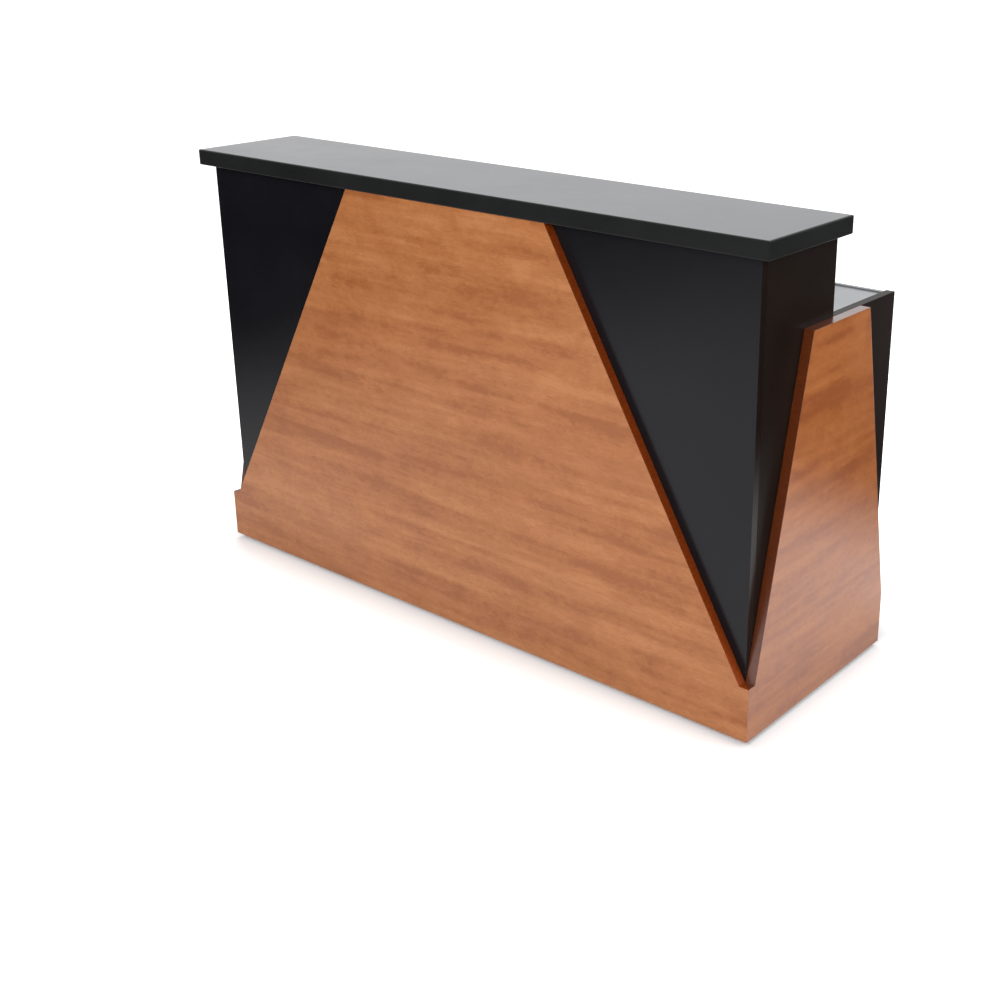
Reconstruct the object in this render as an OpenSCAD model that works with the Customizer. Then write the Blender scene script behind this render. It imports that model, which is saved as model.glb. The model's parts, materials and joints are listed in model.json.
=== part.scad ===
// Mobile bar: a black cabinet on four casters with wooden fascia boards outside,
// and a steel worktop with a sink, speed rails and rack bays on the server's side.
// The guest's side faces -Y, the server's side faces +Y, and +Z is up.
// Left and right are as a guest sees them. Lengths are in millimetres.

/* [Body] */
// Length of the black body over its end panels
body_l = 1750; // [1600:1:2100]
// Depth of the body from its front face to its rear edge
body_d = 578; // [560:1:680]
// Height of the bar top above the floor
overall_h = 1143; // [1100:1:1240]
// Thickness of the front, end and dividing panels
panel_t = 22; // [18:1:25]
// Drop from the bar top's upper face to the end panels' top behind the raised front
end_drop = 226; // [213:1:240]
// Depth of the raised front of the end panels
upper_d = 295; // [240:1:340]
// Gap between the panels and the floor
ground_gap = 13; // [8:1:20]
// Height of the deck's upper face above the floor
deck_z = 148; // [147:1:165]
// Thickness of the deck board
deck_t = 19; // [16:1:20]
// Height of the rail along the deck's rear edge
plinth_h = 50; // [40:1:52]
// Thickness of that rail
plinth_t = 19; // [16:1:22]
// Distance of each divider's middle from the body's middle
divider_x = 352; // [335:1:370]
// Set-back of the dividers from the body's rear edge
divider_setback = 12; // [12:1:25]
// Width of the bearers under the middle of the deck
bearer_w = 60; // [40:1:80]
// Height of those bearers
bearer_h = 31; // [20:1:32]
// Distance of each bearer's middle from the body's middle
bearer_x = 128; // [80:1:200]

/* [Bar top] */
// Thickness of the bar top
top_t = 41; // [30:1:50]
// Overhang of the bar top at each end
top_end_over = 31; // [28:1:60]
// Overhang of the bar top over the front face
top_front_over = 27; // [26:1:60]
// Overhang of the bar top behind the raised front
top_rear_over = 7; // [0:1:30]
// Thickness of the band round the bar top's edges
edging_t = 4; // [3.5:0.5:6]
// Radius of that band's edges
top_edge_r = 3; // [1:0.5:3]
// Length of each leg of the angle brackets under the bar top
bracket_leg = 35; // [20:1:50]
// Width of those brackets
bracket_w = 40; // [20:1:60]
// Thickness of those brackets
bracket_t = 3; // [2:0.5:4]

/* [Fascia boards] */
// Thickness of the wooden boards
fascia_t = 25; // [16:1:26]
// Height of the square band at the foot of the boards
fascia_step_z = 147; // [110:1:200]
// Width of the front board at its top
front_fascia_top_w = 648; // [400:1:900]
// Width of the side boards at their top
side_fascia_top_w = 241; // [120:1:300]
// Distance from the front face to the near end of a side board's top
side_fascia_top_y = 175; // [100:1:220]

/* [Worktop] */
// Drop from the end panels' top to the worktop's upper face
worktop_drop = 6; // [2:1:19]
// Thickness of the steel sheet
sheet_t = 2; // [1.2:0.1:2.5]
// Inner radius of the sheet's bends
bend_r = 3; // [2:0.5:4]
// Height of the raised edge along the worktop's rear
lip_h = 4; // [3:0.5:5]
// Width of that raised edge
lip_w = 16; // [13:1:20]
// Height of the apron that hangs from the worktop's rear edge
apron_h = 57; // [45:1:70]
// Depth of the flange folded in under the apron
apron_return = 10.5; // [8:0.5:11]
// Thickness of the board under the worktop
core_t = 19; // [15:1:22]
// Side of the square battens under the board and behind the cover
batten = 20; // [15:1:30]

/* [Sink] */
// Width of the sink along the bar
sink_w = 300; // [240:1:360]
// Length of the sink from front to rear
sink_l = 310; // [240:1:330]
// Depth of the sink below the worktop
sink_depth = 180; // [140:1:190]
// Offset of the sink's middle along the bar
sink_x = -25; // [-60:1:60]
// Distance of the sink's middle from the body's rear edge
sink_rear_in = 212.5; // [203:0.5:238]
// Radius of the sink's upright corners
sink_corner_r = 25; // [20:1:40]
// Radius between the sink's walls and floor
sink_floor_r = 16; // [8:1:18]
// Width of the sink's flange under the worktop
sink_flange = 12; // [8:1:15]
// Diameter of the drain hole
drain_d = 40; // [36:1:50]
// Width of the strainer's rim around the drain hole
strainer_rim = 10; // [6:1:14]
// Distance from the sink's floor down to the middle of the drain's outlet
elbow_drop = 71; // [68:1:85]
// Radius of the drain elbow's bend
elbow_r = 24; // [20:1:28]

/* [Drain hose] */
// Outer diameter of the hose over its ribs
hose_d = 20; // [18:1:24]
// Bore of the hose
hose_bore = 16; // [14:0.5:17]
// Depth of the grooves between the ribs
hose_groove = 1.2; // [0.8:0.1:1.4]
// Distance from rib to rib
hose_pitch = 6.5; // [6:0.5:12]

/* [Speed rails] */
// Length of each speed rail
rail_l = 420; // [360:1:440]
// Depth of each speed rail from the apron to its front
rail_d = 100; // [90:1:130]
// Height of a speed rail's front plate
rail_front_h = 92; // [60:1:110]
// Drop from the worktop to a speed rail's floor
rail_drop = 226; // [181:1:251]
// Distance of each speed rail's middle from the end of the body
rail_end_in = 263; // [245:1:275]
// Height of the fold along the front plate's upper edge
rail_hem_h = 8; // [5:1:12]
// Distance of the rail bolts from the ends of the rail
rail_bolt_in = 35; // [20:1:60]
// Distance of the rail bolts below the worktop
rail_bolt_drop = 19; // [15:1:25]

/* [Bays] */
// Width of the flange that carries a rack
runner_w = 38; // [25:1:50]
// Height of the runner's leg on the wall
runner_leg = 24; // [15:1:30]
// Height of the lip folded down at the flange's edge
runner_lip = 10; // [5:1:15]
// Thickness of the runners
runner_t = 2; // [1.5:0.5:3]
// Height from runner to runner
runner_pitch = 236; // [200:1:245]
// Number of runners on each wall
runner_levels = 3; // [1:1:3]
// Gap at both ends of a runner
runner_end_gap = 20; // [5:1:60]
// Height of the cover that hides the sink
cover_h = 405; // [370:1:460]
// Thickness of that cover
cover_t = 19; // [12:1:22]

/* [Casters] */
// Diameter of the wheels
wheel_d = 100; // [92:1:101]
// Width of the tread
wheel_w = 32; // [26:1:34]
// Distance from the swivel's axis back to the wheel's axle
caster_trail = 38; // [30:1:40]
// Distance of the casters from the ends of the body
caster_end_in = 187; // [175:1:275]
// Distance of the rear casters from the rear edge
rear_caster_in = 107; // [98:1:138]
// Distance of the front casters from the front face
front_caster_in = 140; // [130:1:170]
// Length of the mounting plate
plate_l = 130; // [124:1:136]
// Width of the mounting plate
plate_w = 100; // [94:1:110]
// Thickness of the mounting plate
plate_t = 4; // [3:0.5:5]
// Spacing of the plate's bolts from front to rear
plate_bolt_y = 103; // [100:1:110]
// Spacing of the plate's bolts along the bar
plate_bolt_x = 73; // [70:1:80]
// Diameter of the swivel's kingpin
kingpin_d = 14; // [12:1:16]
// Thickness of the fork's legs
leg_t = 4; // [3:0.5:5]
// Diameter of the axle
axle_d = 8; // [6:0.5:10]
// Length of the brake pedal from its pin to its round pad
pedal_l = 42; // [38:1:46]
// Diameter of the pedal's half-round pad
pedal_pad_d = 54; // [40:1:60]
// Slope of the released pedal in degrees
pedal_slope = 30; // [28:1:36]

/* [Fasteners] */
// Diameter of the bolts through the deck
bolt_d = 8; // [6:0.5:8]
// Diameter of the bolts that hold the speed rails
rail_bolt_d = 6; // [5:0.5:8]

/* [Hidden] */
$fn = 64;

// Clearances: a cut's overrun, a running fit, a seat between curved faces, a fit of sheet and board
over = 1;
run_fit = 0.05;
seat = 0.3;
side_fit = 0.5;

// Main planes of the body, with the origin under the middle of the whole outline
overall_d = top_front_over + body_d + rail_d;
y_front = top_front_over - overall_d / 2;
y_rear = y_front + body_d;
y_inside = y_front + panel_t;
y_divider = y_rear - divider_setback;
half_l = body_l / 2;
inner_x = half_l - panel_t;
bay_x = divider_x + panel_t / 2;
end_h = overall_h - end_drop;
top_z = overall_h - top_t;
top_l = body_l + 2 * top_end_over;
top_d = top_front_over + upper_d + top_rear_over;
deck_under = deck_z - deck_t;

// Worktop and what it rests on
worktop_z = end_h - worktop_drop;
apron_z = worktop_z - apron_h;
fold = sheet_t + bend_r;
lip_z = worktop_z + lip_h;
lip_y = y_rear - lip_w;
core_top = worktop_z - sheet_t;
core_z = core_top - core_t;
end_x = inner_x - side_fit;

// Sink and drain
sink_cy = y_rear - sink_rear_in;
sink_floor_z = worktop_z - sink_depth;
sink_under = sink_floor_z - sheet_t;
core_clear = 2;
neck_clear = 1;
neck_d = drain_d - 2 * neck_clear;
neck_bore = 32;
neck_l = 26;
neck_z = sink_floor_z - neck_l;
strainer_t = 2;
strainer_hole_d = 5;
strainer_rings = [[0, 1], [8, 6]];
locknut_h = 8;
locknut_rim = 9;
elbow_z = sink_floor_z - elbow_drop;
cup_wall = 5;
cup_d = neck_d + 2 * cup_wall;
cup_h = 18;
cup_floor = 6;
spigot_clear = 1;
spigot_d = hose_bore - 2 * spigot_clear;
spigot_l = 25;
spigot_wall = 2;
elbow_bore = spigot_d - 2 * spigot_wall;
elbow_wall = 4;
elbow_pipe_d = elbow_bore + 2 * elbow_wall;
collar_rim = 1;
collar_d = hose_d + 2 * collar_rim;
collar_t = 3;

// The hose's route in steps from the drain elbow's outlet, down under the cover and up to its bracket,
// drawn for a given fall from the outlet to the deck
elbow_reach = 35;
hose_fall = 512;
hose_bends = [[0, 0, 0], [23, 0, 0], [46, 0, 0], [78, 0, -4], [108, 1, -16], [134, 3, -36], [154, 6, -62],
              [166, 9, -92], [170, 13, -125], [170, 17, -155], [170, 21, -185], [164, 26, -228],
              [148, 31, -268], [122, 37, -302], [88, 43, -328], [48, 49, -344], [5, 55, -350],
              [-38, 61, -344], [-78, 67, -328], [-112, 73, -302], [-138, 79, -268], [-154, 85, -228],
              [-160, 91, -185], [-160, 97, -155], [-160, 103, -125], [-160, 108, -98], [-160, 110, -72],
              [-160, 110, -47], [-160, 110, -22]];
hose_start = [sink_x + elbow_reach, sink_cy, elbow_z];
hose_fall_share = (elbow_z - deck_z) / hose_fall;
hose_route = [for (p = hose_bends) hose_start + [p[0], p[1], p[2] * hose_fall_share]];
hose_end = hose_route[len(hose_route) - 1];
hose_sides = 8;
bore_every = 4;
clamp_w = 9;
clamp_t = 1;
clamp_in = 10;
clamp_screw_d = 7;
clamp_screw_l = 14;
stow_plate_w = 40;
stow_plate_h = 45;
stow_plate_t = 3;

// Cover and battens
cover_y = y_divider - cover_t;
cover_z = core_z - cover_h;
cleat_in = 15;

// Bolts
bolt_clear = 0.5;
head_h = 3;
head_edge_h = 1.2;
head_ratio = 2.2;
nut_ratio = 1.8;
nut_h = 6;
rail_nut_h = 5;
bearer_bolt_front = [100, 203];
bearer_bolt_rear = [158, 55];
bearer_bolt_y = concat([for (d = bearer_bolt_front) y_front + d], [for (d = bearer_bolt_rear) y_rear - d]);
rail_x = half_l - rail_end_in;
rail_z = worktop_z - rail_drop;

// Caster, measured down from its plate
caster_x = half_l - caster_end_in;
front_caster_y = y_front + front_caster_in;
rear_caster_y = y_rear - rear_caster_in;
plate_z = deck_under - plate_t;
plate_corner_r = 6;
race_d = 62;
race_h = 7;
race_step = 6;
crown_h = 12.4;
crown_d = 60;
crown_dish_h = 4;
crown_top = plate_z - race_h - seat;
crown_z = crown_top - crown_h;
pin_head_d = 22;
pin_head_h = 4;
axle_z = wheel_d / 2;
leg_gap = 3;
leg_in = wheel_w / 2 + leg_gap;
leg_out = leg_in + leg_t;
bridge_t = 6;
bridge_front = 26;
bridge_rear = 48;
boss_d = 28;
hub_gap = 0.5;
hub_d = 22;
web_t = 8;
rim_t = 5;
tyre_t = 8;
rim_side = 2;
tread_r = 3.5;
lightening_d = 13;
lightening_count = 6;
axle_head_d = 14;
axle_head_h = 5;
ear_y = 70;
ear_drop = 5.3;
ear_z = crown_z - ear_drop;
ear_d = 18;
pedal_pin_d = 6;
pedal_knuckle_d = 10;
pedal_t = 3;
pedal_gap = 0.8;
pedal_pin_out = 1.5;
pedal_arm_w = 26;
pedal_pad_depth_share = 0.42;
pedal_rib_h = 4;
pedal_rib_w = 4;

// Shares of the raised front's depth at which the top brackets sit
bracket_shares = [0.3, 0.75];

black = [0.10, 0.10, 0.11];
cherry = [0.68, 0.43, 0.28];
steel = [0.78, 0.79, 0.81];
zinc = [0.70, 0.68, 0.62];
grey_plastic = [0.35, 0.36, 0.37];
rubber = [0.16, 0.16, 0.17];
ply = [0.80, 0.68, 0.50];

// Helpers: an outline drawn as (Y, Z) swept along X, and one drawn as (X, Z) swept along Y
module along_x(length) {
    rotate([90, 0, 90]) linear_extrude(height = length, center = true) children();
}

module along_y(length) {
    rotate([90, 0, 0]) linear_extrude(height = length, center = true) children();
}

module mirrored() {
    children();
    mirror([1, 0, 0]) children();
}

module box_between(low, high) {
    translate(low) cube(high - low);
}

module rounded_rect(w, l, r) {
    square([w - 2 * r, l], center = true);
    square([w, l - 2 * r], center = true);
    for (sx = [-1, 1], sy = [-1, 1]) {
        translate([sx * (w / 2 - r), sy * (l / 2 - r)]) circle(r = r);
    }
}

// Quarter of a bent sheet, in the first quadrant
module quarter_bend() {
    intersection() {
        difference() {
            circle(r = fold);
            circle(r = bend_r);
        }
        square(fold);
    }
}

// Bolt with a low domed head on the plane z = 0, its shank and a nut below
module dome_bolt(d, grip, nut) {
    cylinder(d = d * head_ratio, h = head_edge_h);
    translate([0, 0, head_edge_h]) cylinder(d1 = d * head_ratio, d2 = d, h = head_h - head_edge_h);
    translate([0, 0, -grip - nut]) cylinder(d = d, h = grip + nut);
    translate([0, 0, -grip - nut]) cylinder(d = d * nut_ratio, h = nut, $fn = 6);
}

// Places of the bolts through the deck
module at_bearer_bolts() {
    for (sx = [-1, 1], y = bearer_bolt_y) {
        translate([sx * bearer_x, y, deck_z]) children();
    }
}

module at_plate_bolts() {
    for (sx = [-1, 1], sy = [-1, 1]) {
        translate([sx * plate_bolt_x / 2, sy * plate_bolt_y / 2, 0]) children();
    }
}

module at_casters() {
    for (sx = [-1, 1], y = [front_caster_y, rear_caster_y]) {
        translate([sx * caster_x, y, 0]) children();
    }
}

module at_rail_bolts() {
    for (sx = [-1, 1], end = [-1, 1]) {
        translate([sx * rail_x + end * (rail_l / 2 - rail_bolt_in), y_rear, worktop_z - rail_bolt_drop]) {
            rotate([-90, 0, 0]) children();
        }
    }
}

// Cabinet boards
module base_deck() {
    color(black) difference() {
        box_between([-inner_x, y_inside, deck_under], [inner_x, y_rear - plinth_t, deck_z]);
        at_bearer_bolts() translate([0, 0, -deck_t - over]) {
            cylinder(d = bolt_d + bolt_clear, h = deck_t + 2 * over);
        }
        at_casters() at_plate_bolts() translate([0, 0, deck_under - over]) {
            cylinder(d = bolt_d + bolt_clear, h = deck_t + 2 * over);
        }
    }
}

module rear_plinth() {
    color(black) box_between([-inner_x, y_rear - plinth_t, deck_z - plinth_h], [inner_x, y_rear, deck_z]);
}

module front_panel() {
    color(black) box_between([-half_l, y_front, ground_gap], [half_l, y_inside, top_z]);
}

module end_panel() {
    color(black) translate([inner_x + panel_t / 2, 0, 0]) along_x(panel_t) polygon([
        [y_inside, ground_gap], [y_rear, ground_gap], [y_rear, end_h],
        [y_front + upper_d, end_h], [y_front + upper_d, top_z], [y_inside, top_z]]);
}

module divider() {
    color(black) box_between([divider_x - panel_t / 2, y_inside, deck_z], [bay_x, y_divider, core_z]);
}

module left_end_panel() {
    mirror([1, 0, 0]) end_panel();
}

module right_end_panel() {
    end_panel();
}

module left_divider() {
    mirror([1, 0, 0]) divider();
}

module right_divider() {
    divider();
}

module deck_bearers() {
    color(ply) difference() {
        mirrored() box_between([bearer_x - bearer_w / 2, y_inside, deck_under - bearer_h],
                               [bearer_x + bearer_w / 2, y_rear - plinth_t, deck_under]);
        at_bearer_bolts() translate([0, 0, -deck_t - bearer_h - over]) {
            cylinder(d = bolt_d + bolt_clear, h = bearer_h + 2 * over);
        }
    }
}

module bearer_bolts() {
    color(zinc) at_bearer_bolts() dome_bolt(bolt_d, deck_t + bearer_h, nut_h);
}

// Bar top: a board, the eased band round its edges, and the brackets that hold it to the end panels
module at_bar_top() {
    translate([0, y_front - top_front_over + top_d / 2, top_z + top_t / 2]) children();
}

module bar_top() {
    color(black) at_bar_top() cube([top_l - 2 * edging_t, top_d - 2 * edging_t, top_t], center = true);
}

module bar_top_edging() {
    color(black) at_bar_top() difference() {
        intersection() {
            along_x(top_l) rounded_rect(top_d, top_t, top_edge_r);
            along_y(top_d) rounded_rect(top_l, top_t, top_edge_r);
        }
        cube([top_l - 2 * edging_t, top_d - 2 * edging_t, top_t + 2 * over], center = true);
    }
}

module top_brackets() {
    color(zinc) mirrored() for (share = bracket_shares) {
        translate([0, y_front + upper_d * share, 0]) along_y(bracket_w) {
            translate([inner_x - bracket_t, top_z - bracket_leg]) square([bracket_t, bracket_leg]);
            translate([inner_x - bracket_leg, top_z - bracket_t]) square([bracket_leg, bracket_t]);
        }
    }
}

// Wooden boards, mitred where they meet at the corners
module front_fascia() {
    foot_x = half_l + fascia_t;
    color(cherry) intersection() {
        translate([0, y_front - fascia_t / 2, 0]) along_y(fascia_t + 2 * over) polygon([
            [-foot_x, ground_gap], [foot_x, ground_gap], [foot_x, fascia_step_z], [half_l, fascia_step_z],
            [front_fascia_top_w / 2, top_z], [-front_fascia_top_w / 2, top_z],
            [-half_l, fascia_step_z], [-foot_x, fascia_step_z]]);
        linear_extrude(height = top_z) polygon([
            [-foot_x, y_front - fascia_t], [foot_x, y_front - fascia_t],
            [half_l, y_front], [-half_l, y_front]]);
    }
}

module side_fascia() {
    foot_x = half_l + fascia_t;
    foot_y = y_front - fascia_t;
    top_y = y_front + side_fascia_top_y;
    color(cherry) intersection() {
        translate([half_l + fascia_t / 2, 0, 0]) along_x(fascia_t + 2 * over) polygon([
            [foot_y, ground_gap], [y_rear, ground_gap], [y_rear, fascia_step_z],
            [top_y + side_fascia_top_w, end_h], [top_y, end_h],
            [y_front, fascia_step_z], [foot_y, fascia_step_z]]);
        linear_extrude(height = end_h) polygon([
            [half_l, y_front], [foot_x, foot_y], [foot_x, y_rear], [half_l, y_rear]]);
    }
}

module left_fascia() {
    mirror([1, 0, 0]) side_fascia();
}

module right_fascia() {
    side_fascia();
}

// Worktop: one sheet from the splashback over the raised edge at the rear to the apron's flange
module worktop_profile() {
    translate([y_inside + sheet_t, core_top]) square([lip_y - y_inside, sheet_t]);
    translate([lip_y, core_top]) square([sheet_t, lip_z - core_top]);
    translate([lip_y, lip_z - sheet_t]) square([lip_w - fold, sheet_t]);
    translate([y_rear - fold, lip_z - fold]) quarter_bend();
    translate([y_rear - sheet_t, apron_z + fold]) square([sheet_t, lip_z - apron_z - 2 * fold]);
    translate([y_rear - fold, apron_z + fold]) rotate(-90) quarter_bend();
    translate([y_rear - apron_return, apron_z]) square([apron_return - fold, sheet_t]);
}

module worktop() {
    color(steel) difference() {
        along_x(2 * end_x) worktop_profile();
        translate([sink_x, sink_cy, core_top - over]) {
            linear_extrude(height = sheet_t + 2 * over) rounded_rect(sink_w, sink_l, sink_corner_r);
        }
        at_rail_bolts() translate([0, 0, -sheet_t - over]) {
            cylinder(d = rail_bolt_d + bolt_clear, h = sheet_t + 2 * over);
        }
    }
}

// Splashback: a flat sheet on the front panel's inner face, from the board under the worktop to the bar top
module splashback() {
    color(steel) box_between([-end_x, y_inside, core_top], [end_x, y_inside + sheet_t, top_z]);
}

module worktop_core() {
    hole = 2 * (sink_flange + core_clear);
    color(ply) difference() {
        box_between([-inner_x, y_inside, core_z], [inner_x, y_divider, core_top]);
        translate([sink_x, sink_cy, core_z - over]) linear_extrude(height = core_t + 2 * over) {
            rounded_rect(sink_w + hole, sink_l + hole, sink_corner_r + sink_flange + core_clear);
        }
    }
}

module core_ledgers() {
    color(ply) mirrored() box_between([inner_x - batten, y_inside, core_z - batten],
                                      [inner_x, y_divider - divider_setback, core_z]);
}

// Sink: a drawn bowl with rounded corners and a coved floor
module cove_outline(w, h, r) {
    translate([-w / 2, r]) square([w, h - r]);
    translate([-w / 2 + r, 0]) square([w - 2 * r, r]);
    for (s = [-1, 1]) {
        translate([s * (w / 2 - r), r]) circle(r = r);
    }
}

module bowl_form(w, l, h, corner_r, floor_r) {
    along_x(w - 2 * corner_r) cove_outline(l, h, floor_r);
    along_y(l - 2 * corner_r) cove_outline(w, h, floor_r);
    for (sx = [-1, 1], sy = [-1, 1]) {
        translate([sx * (w / 2 - corner_r), sy * (l / 2 - corner_r), 0]) rotate_extrude() intersection() {
            cove_outline(2 * corner_r, h, floor_r);
            square([corner_r, h]);
        }
    }
}

module sink_basin() {
    wall = 2 * sheet_t;
    rim = 2 * (sink_flange + sheet_t);
    bowl_h = core_top - sink_floor_z;
    color(steel) translate([sink_x, sink_cy, 0]) difference() {
        union() {
            translate([0, 0, sink_under]) {
                bowl_form(sink_w + wall, sink_l + wall, bowl_h + sheet_t,
                          sink_corner_r + sheet_t, sink_floor_r + sheet_t);
            }
            translate([0, 0, core_top - sheet_t]) linear_extrude(height = sheet_t) {
                rounded_rect(sink_w + rim, sink_l + rim, sink_corner_r + sink_flange + sheet_t);
            }
        }
        translate([0, 0, sink_floor_z]) {
            bowl_form(sink_w, sink_l, bowl_h + over, sink_corner_r, sink_floor_r);
        }
        translate([0, 0, sink_under - over]) cylinder(d = drain_d, h = sheet_t + 2 * over);
    }
}

module at_drain() {
    translate([sink_x, sink_cy, 0]) children();
}

module drain_strainer() {
    color(steel) at_drain() difference() {
        union() {
            translate([0, 0, sink_floor_z]) cylinder(d = drain_d + 2 * strainer_rim, h = strainer_t);
            translate([0, 0, neck_z]) cylinder(d = neck_d, h = neck_l + strainer_t);
        }
        translate([0, 0, neck_z - over]) cylinder(d = neck_bore, h = neck_l - strainer_t + over);
        for (ring = strainer_rings, i = [1 : ring[1]]) {
            rotate([0, 0, i * 360 / ring[1]]) translate([ring[0], 0, neck_z]) {
                cylinder(d = strainer_hole_d, h = neck_l + strainer_t + over);
            }
        }
    }
}

module drain_locknut() {
    color(grey_plastic) at_drain() translate([0, 0, sink_under - locknut_h]) difference() {
        cylinder(d = neck_d + 2 * locknut_rim, h = locknut_h, $fn = 8);
        translate([0, 0, -over]) cylinder(d = neck_d + 2 * run_fit, h = locknut_h + 2 * over);
    }
}

// Drain elbow: a cup round the strainer's neck, a quarter bend and a spigot for the hose
module elbow_path(d) {
    bend_z = elbow_z + elbow_r;
    translate([0, 0, bend_z]) cylinder(d = d, h = neck_z - cup_floor - bend_z + over);
    translate([elbow_r, 0, bend_z]) rotate([90, 0, 0]) rotate([0, 0, 180]) {
        rotate_extrude(angle = 90) translate([elbow_r, 0]) circle(d = d);
    }
}

module drain_elbow() {
    run = elbow_reach - elbow_r;
    color(grey_plastic) at_drain() difference() {
        union() {
            translate([0, 0, neck_z - cup_floor]) cylinder(d = cup_d, h = cup_h);
            elbow_path(elbow_pipe_d);
            translate([elbow_r, 0, elbow_z]) rotate([0, 90, 0]) {
                cylinder(d = elbow_pipe_d, h = run - collar_t);
                translate([0, 0, run - collar_t]) cylinder(d = collar_d, h = collar_t);
                cylinder(d = spigot_d, h = run + spigot_l);
            }
        }
        translate([0, 0, neck_z]) cylinder(d = neck_d + 2 * run_fit, h = cup_h);
        elbow_path(elbow_bore);
        translate([elbow_r, 0, elbow_z]) rotate([0, 90, 0]) {
            cylinder(d = elbow_bore, h = run + spigot_l + over);
        }
    }
}

// Drain hose: ribs and bore swept along a smooth curve through the route's points
function curve_point(p, q, r, s, t) =
    (2 * q + (r - p) * t + (2 * p - 5 * q + 4 * r - s) * t * t + (3 * q - p - 3 * r + s) * t * t * t) / 2;
function route_at(i) =
    i < 0 ? 2 * hose_route[0] - hose_route[1]
    : i >= len(hose_route) ? 2 * hose_end - hose_route[len(hose_route) - 2]
    : hose_route[i];
function span_steps(i) = max(2, 2 * round(norm(route_at(i + 1) - route_at(i)) / hose_pitch));
hose_path = concat(
    [for (i = [0 : len(hose_route) - 2], k = [0 : span_steps(i) - 1])
        curve_point(route_at(i - 1), route_at(i), route_at(i + 1), route_at(i + 2), k / span_steps(i))],
    [hose_end]);
hose_rings = len(hose_path);
hose_bore_at = concat([for (i = [0 : bore_every : hose_rings - bore_every]) i], [hose_rings - 1]);

function unit(v) = v / norm(v);
function heading(i) =
    i == 0 ? unit(hose_route[1] - hose_route[0])
    : i == hose_rings - 1 ? unit(hose_end - hose_route[len(hose_route) - 2])
    : unit(hose_path[i + 1] - hose_path[i - 1]);
function ring_points(i, r) =
    let (t = heading(i), u = unit(cross(t, [0, 1, 0])), v = cross(t, u))
    [for (k = [0 : hose_sides - 1])
        hose_path[i] + r * (u * cos(k * 360 / hose_sides) + v * sin(k * 360 / hose_sides))];
function rib_radius(i) = hose_d / 2 - (i % 2) * hose_groove;

function band(a, b) =
    [for (k = [0 : hose_sides - 1], half = [0, 1])
        let (n = (k + 1) % hose_sides)
        half == 0 ? [a + k, a + n, b + n] : [a + k, b + n, b + k]];
function flipped(faces) = [for (f = faces) [f[0], f[2], f[1]]];

module drain_hose() {
    bore_rings = len(hose_bore_at);
    bore_from = hose_rings * hose_sides;
    outside = [for (i = [0 : hose_rings - 1]) each ring_points(i, rib_radius(i))];
    inside = [for (i = hose_bore_at) each ring_points(i, hose_bore / 2)];
    skin = [for (i = [0 : hose_rings - 2]) each band(i * hose_sides, (i + 1) * hose_sides)];
    bore = [for (i = [0 : bore_rings - 2])
        each flipped(band(bore_from + i * hose_sides, bore_from + (i + 1) * hose_sides))];
    first = flipped(band(0, bore_from));
    last = band((hose_rings - 1) * hose_sides, bore_from + (bore_rings - 1) * hose_sides);
    color(rubber) polyhedron(points = concat(outside, inside), faces = concat(skin, bore, first, last));
}

// Worm-drive clamps at both ends of the hose
module hose_clamp() {
    band_d = hose_d + 2 * seat;
    translate([0, 0, -clamp_w / 2]) difference() {
        union() {
            cylinder(d = band_d + 2 * clamp_t, h = clamp_w);
            translate([0, band_d / 2 + clamp_screw_d / 2, clamp_w / 2]) rotate([0, 90, 0]) {
                cylinder(d = clamp_screw_d, h = clamp_screw_l, center = true);
            }
        }
        translate([0, 0, -over]) cylinder(d = band_d, h = clamp_w + 2 * over);
    }
}

module hose_clamps() {
    color(steel) {
        translate(hose_start + [clamp_in, 0, 0]) rotate([0, 90, 0]) hose_clamp();
        translate(hose_end - [0, 0, clamp_in]) hose_clamp();
    }
}

// Bracket behind the cover with a spigot that holds the hose's free end up
module hose_bracket() {
    arm_y = hose_end[1] - stow_plate_w / 2;
    color(zinc) {
        translate([hose_end[0] - stow_plate_w / 2, 0, hose_end[2]]) {
            box_between([0, arm_y, 0], [stow_plate_w, cover_y, stow_plate_t]);
            box_between([0, cover_y - stow_plate_t, 0], [stow_plate_w, cover_y, stow_plate_h]);
        }
        translate(hose_end - [0, 0, spigot_l]) cylinder(d = spigot_d, h = spigot_l + stow_plate_t);
    }
}

// Cover in front of the sink, and the battens it is screwed to
module sink_cover() {
    cover_x = divider_x - panel_t / 2 - side_fit;
    color(black) box_between([-cover_x, cover_y, cover_z], [cover_x, y_divider, core_z]);
}

module cover_cleats() {
    cleat_x = divider_x - panel_t / 2;
    color(ply) mirrored() box_between([cleat_x - batten, cover_y - batten, cover_z + cleat_in],
                                      [cleat_x, cover_y, core_z - cleat_in]);
}

// Speed rail: a folded trough with welded ends, hung on the apron by two bolts
module rail_profile() {
    back_top = lip_z - fold;
    front_y = y_rear + rail_d;
    translate([y_rear, rail_z + fold]) square([sheet_t, back_top - rail_z - fold]);
    translate([y_rear + fold, rail_z + fold]) rotate(180) quarter_bend();
    translate([y_rear + fold, rail_z]) square([rail_d - 2 * fold, sheet_t]);
    translate([front_y - fold, rail_z + fold]) rotate(-90) quarter_bend();
    translate([front_y - sheet_t, rail_z + fold]) square([sheet_t, rail_front_h - fold]);
    translate([front_y - 2 * sheet_t, rail_z + rail_front_h - rail_hem_h]) square([sheet_t, rail_hem_h]);
}

module rail_end() {
    polygon([[y_rear + sheet_t, rail_z + sheet_t], [y_rear + rail_d - sheet_t, rail_z + sheet_t],
             [y_rear + rail_d - sheet_t, rail_z + rail_front_h], [y_rear + sheet_t, apron_z]]);
}

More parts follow.
